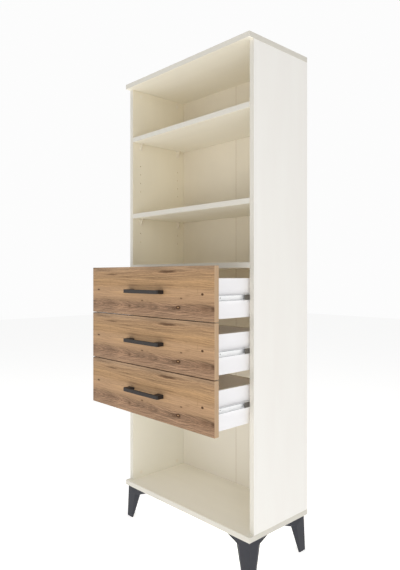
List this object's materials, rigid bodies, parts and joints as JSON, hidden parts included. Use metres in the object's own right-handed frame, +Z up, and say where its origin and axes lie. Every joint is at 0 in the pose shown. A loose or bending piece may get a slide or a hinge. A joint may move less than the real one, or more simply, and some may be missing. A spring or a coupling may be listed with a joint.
{
  "type": "bookcase with drawers",
  "caption": "Tall open bookcase on faceted corner legs, with loose shelves above, an open bay below and a block of wood-fronted drawers between that run on ball-bearing slides.",
  "frame": {"origin": "on the floor, under the middle of the top and bottom panels", "axes": "+X to the right of someone facing the front, +Y to the back, +Z up; the drawers open along -Y and are stored fully open"},
  "size_m": [0.8, 0.589, 2.094],
  "materials": {
    "body_laminate": "matt cream laminate on chipboard",
    "back_sheet": "matt cream lacquered hardboard",
    "front_decor": "matt oak decor with knots, edge banded",
    "box_white": "smooth white foil",
    "handle_metal": "matt anthracite",
    "leg_plastic": "matt anthracite moulding",
    "slide_steel": "bright zinc plated",
    "cage_dark": "dark greased steel",
    "screw_steel": "zinc plated",
    "cam_zinc": "die-cast zinc",
    "dowel_wood": "plain beech",
    "seam_tape": "brown cloth tape",
    "support_plastic": "off-white moulding"
  },
  "bodies": {
    "body": {"back_left": "back_sheet", "back_right": "back_sheet", "back_screws": "screw_steel", "back_tape": "seam_tape", "body_rail_left_1": "slide_steel", "body_rail_left_2": "slide_steel", "body_rail_left_3": "slide_steel", "body_rail_right_1": "slide_steel", "body_rail_right_2": "slide_steel", "body_rail_right_3": "slide_steel", "bottom_panel": "body_laminate", "cam_bolts": "screw_steel", "cam_locks": "cam_zinc", "dowels": "dowel_wood", "fixed_shelf": "body_laminate", "leg_front_left": "leg_plastic", "leg_front_right": "leg_plastic", "leg_rear_left": "leg_plastic", "leg_rear_right": "leg_plastic", "leg_screws": "screw_steel", "rail_screws": "screw_steel", "shelf_middle": "body_laminate", "shelf_supports": "support_plastic", "shelf_upper": "body_laminate", "side_left": "body_laminate", "side_right": "body_laminate", "top_panel": "body_laminate"},
    "drawer_1": {"drawer_front_1": "front_decor", "box_side_left_1": "box_white", "box_side_right_1": "box_white", "box_back_1": "box_white", "box_bottom_1": "box_white", "box_fasteners_1": "screw_steel", "handle_1": "handle_metal", "handle_screws_1": "screw_steel", "drawer_rail_left_1": "slide_steel", "drawer_rail_right_1": "slide_steel"},
    "slide_cages_1": {"ball_cages_1": "cage_dark"},
    "drawer_2": {"drawer_front_2": "front_decor", "box_side_left_2": "box_white", "box_side_right_2": "box_white", "box_back_2": "box_white", "box_bottom_2": "box_white", "box_fasteners_2": "screw_steel", "handle_2": "handle_metal", "handle_screws_2": "screw_steel", "drawer_rail_left_2": "slide_steel", "drawer_rail_right_2": "slide_steel"},
    "slide_cages_2": {"ball_cages_2": "cage_dark"},
    "drawer_3": {"drawer_front_3": "front_decor", "box_side_left_3": "box_white", "box_side_right_3": "box_white", "box_back_3": "box_white", "box_bottom_3": "box_white", "box_fasteners_3": "screw_steel", "handle_3": "handle_metal", "handle_screws_3": "screw_steel", "drawer_rail_left_3": "slide_steel", "drawer_rail_right_3": "slide_steel"},
    "slide_cages_3": {"ball_cages_3": "cage_dark"}
  },
  "joints": [
    {"name": "drawer_1_slide", "type": "slide", "parent": "body", "child": "drawer_1", "axis": [0, -1, 0], "range_m": [-0.187, 0]},
    {"name": "cage_1_slide", "type": "slide", "parent": "body", "child": "slide_cages_1", "axis": [0, -1, 0], "range_m": [-0.0935, 0]},
    {"name": "drawer_2_slide", "type": "slide", "parent": "body", "child": "drawer_2", "axis": [0, -1, 0], "range_m": [-0.187, 0]},
    {"name": "cage_2_slide", "type": "slide", "parent": "body", "child": "slide_cages_2", "axis": [0, -1, 0], "range_m": [-0.0935, 0]},
    {"name": "drawer_3_slide", "type": "slide", "parent": "body", "child": "drawer_3", "axis": [0, -1, 0], "range_m": [-0.187, 0]},
    {"name": "cage_3_slide", "type": "slide", "parent": "body", "child": "slide_cages_3", "axis": [0, -1, 0], "range_m": [-0.0935, 0]}
  ],
  "couplings": [
    {"joint": "cage_1_slide", "follows": "drawer_1_slide", "ratio": 0.5},
    {"joint": "cage_2_slide", "follows": "drawer_2_slide", "ratio": 0.5},
    {"joint": "cage_3_slide", "follows": "drawer_3_slide", "ratio": 0.5}
  ]
}
